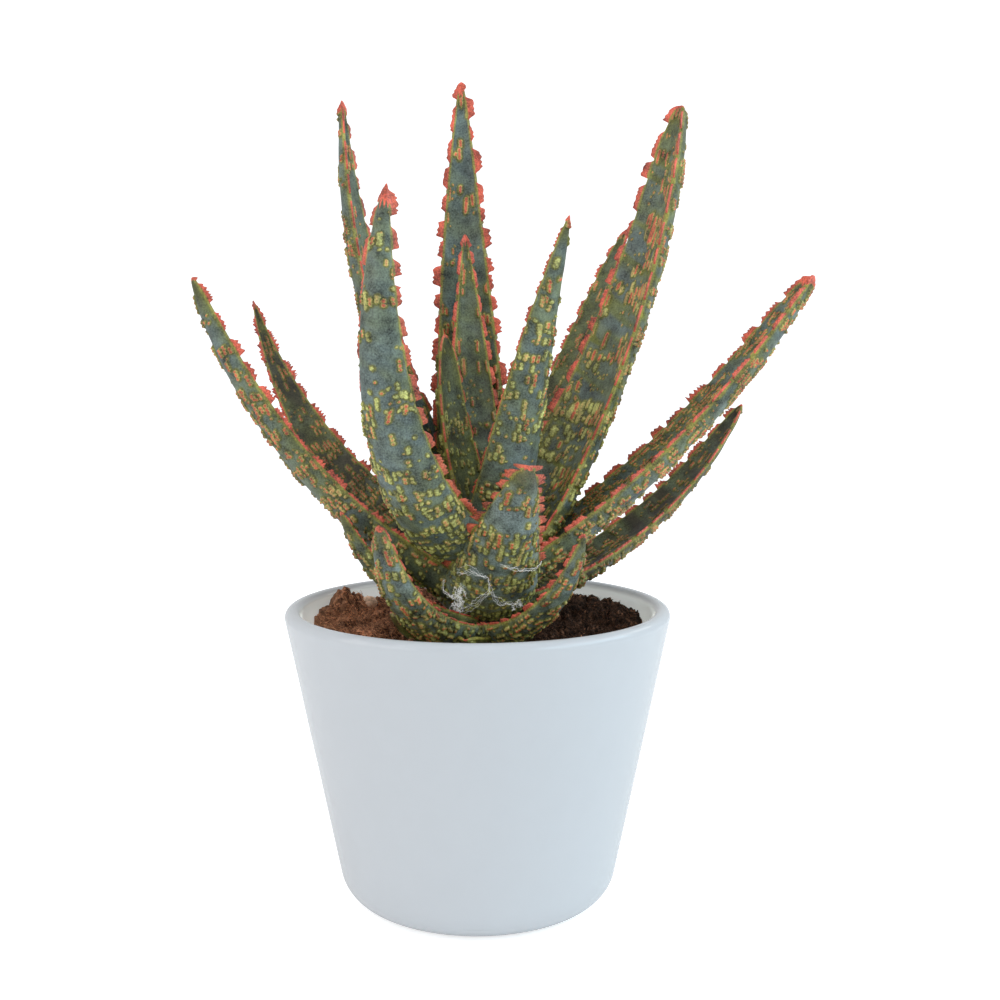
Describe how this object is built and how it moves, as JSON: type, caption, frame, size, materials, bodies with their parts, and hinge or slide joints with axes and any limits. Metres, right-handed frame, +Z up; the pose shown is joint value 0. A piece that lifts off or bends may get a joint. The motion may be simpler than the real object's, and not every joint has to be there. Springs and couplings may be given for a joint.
{
  "type": "potted aloe",
  "caption": "Young aloe with upright fleshy toothed leaves, warty and edged in coral, growing from a short stem in a tapered white glazed pot of soil.",
  "frame": {"origin": "centre of the pot's flat base, where it meets the table", "axes": "+Z up along the pot's axis; the picture looks along +Y, with +X to its right"},
  "size_m": [0.2201, 0.1524, 0.3012],
  "materials": {
    "pot": "glossy white glaze",
    "soil": "loose moist coir, matte",
    "pebble": "dull",
    "stem": "fleshy, dull",
    "leaf": "waxy, softly glossy"
  },
  "bodies": {
    "root": {"pot": "pot", "soil": "soil", "pebble": "pebble", "stem": "stem", "leaf_01_heart": "leaf", "leaf_02_heart_back": "leaf", "leaf_03_heart_right": "leaf", "leaf_04_tall_left": "leaf", "leaf_05_tall_back": "leaf", "leaf_06_broad_front_left": "leaf", "leaf_07_back_right": "leaf", "leaf_08_tall_right": "leaf", "leaf_09_back_left": "leaf", "leaf_10_mid_back": "leaf", "leaf_11_far_right": "leaf", "leaf_12_far_left": "leaf", "leaf_13_short_front": "leaf", "leaf_14_low_back": "leaf", "leaf_15_low_right": "leaf", "leaf_16_low_back_left": "leaf", "leaf_17_low_left": "leaf", "leaf_18_low_front_right": "leaf", "leaf_19_low_front_left": "leaf", "leaf_20_basal_left": "leaf", "leaf_21_basal_front": "leaf"}
  },
  "joints": []
}
